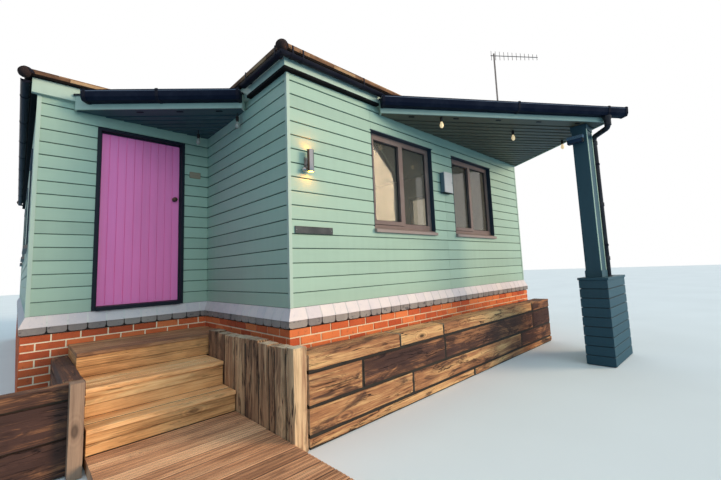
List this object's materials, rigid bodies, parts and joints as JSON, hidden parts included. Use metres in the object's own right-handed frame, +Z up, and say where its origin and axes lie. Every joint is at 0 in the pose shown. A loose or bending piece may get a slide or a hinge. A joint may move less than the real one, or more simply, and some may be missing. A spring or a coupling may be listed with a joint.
{
  "type": "holiday lodge",
  "caption": "Clad holiday lodge on a brick plinth with a hipped roof, corner canopies, timber steps and sleeper walls.",
  "frame": {"origin": "ground under the near outer corner of the bay, on the plinth's footing", "axes": "+X along the garden front to the right, +Y back along the lodge, +Z up"},
  "size_m": [8.4626, 11.8874, 5.68],
  "materials": {
    "cladding": "painted boards",
    "white_trim": "painted",
    "soffit_board": "painted",
    "brick": "fired clay",
    "cap_brick": "fired clay",
    "floor_board": "satin",
    "roof_tile": "granulated",
    "gutter_plastic": "satin",
    "post_paint": "painted",
    "window_frame": "satin",
    "glass": "clear",
    "door_frame": "satin",
    "door_paint": "painted",
    "steel": "brushed",
    "cabinet": "satin",
    "plate": "satin",
    "black_metal": "satin",
    "bulb": "clear",
    "aerial_metal": "weathered",
    "sleeper": "weathered",
    "step_timber": "weathered"
  },
  "bodies": {
    "lodge": {"front_wall": "cladding", "right_wall": "cladding", "rear_wall": "cladding", "left_wall": "cladding", "bay_side_wall": "cladding", "door_wall_left": "cladding", "door_wall_right": "cladding", "door_wall_head": "cladding", "corner_trims": "white_trim", "eaves_fascia": "white_trim", "patio_fascia": "white_trim", "porch_fascia": "white_trim", "patio_canopy": "soffit_board", "porch_canopy": "soffit_board", "brick_plinth": "brick", "plinth_cap": "cap_brick", "floor": "floor_board", "roof": "roof_tile", "ridge_caps": "roof_tile", "bay_gutter": "gutter_plastic", "main_gutter": "gutter_plastic", "patio_gutter": "gutter_plastic", "porch_gutter": "gutter_plastic", "downpipe": "gutter_plastic", "pipe_clips": "gutter_plastic", "soffit_vents": "gutter_plastic", "canopy_post": "post_paint", "post_pier": "post_paint", "pier_coping": "post_paint", "window_frames": "window_frame", "window_sills": "window_frame", "window_glass": "glass", "door_jambs": "door_frame", "door_head": "door_frame", "threshold": "door_frame", "frame_hinges": "steel", "wall_lamp": "steel", "meter_box": "cabinet", "blank_plates": "plate", "floodlight": "black_metal", "festoon_bulbs": "bulb", "aerial_mast": "aerial_metal", "mast_brackets": "aerial_metal", "aerial": "aerial_metal", "front_sleepers": "sleeper", "side_sleepers": "sleeper", "left_sleepers": "sleeper", "left_post": "sleeper", "low_step": "step_timber", "middle_step": "step_timber", "door_landing": "step_timber", "step_deck": "step_timber"},
    "door": {"door_leaf": "door_paint", "door_knobs": "steel", "leaf_hinges": "steel"}
  },
  "joints": [
    {"name": "front_door", "type": "hinge", "parent": "lodge", "child": "door", "pos_m": [-1.123, 2.0875, 0], "axis": [0, 0, 1], "range_deg": [0, 90]}
  ]
}
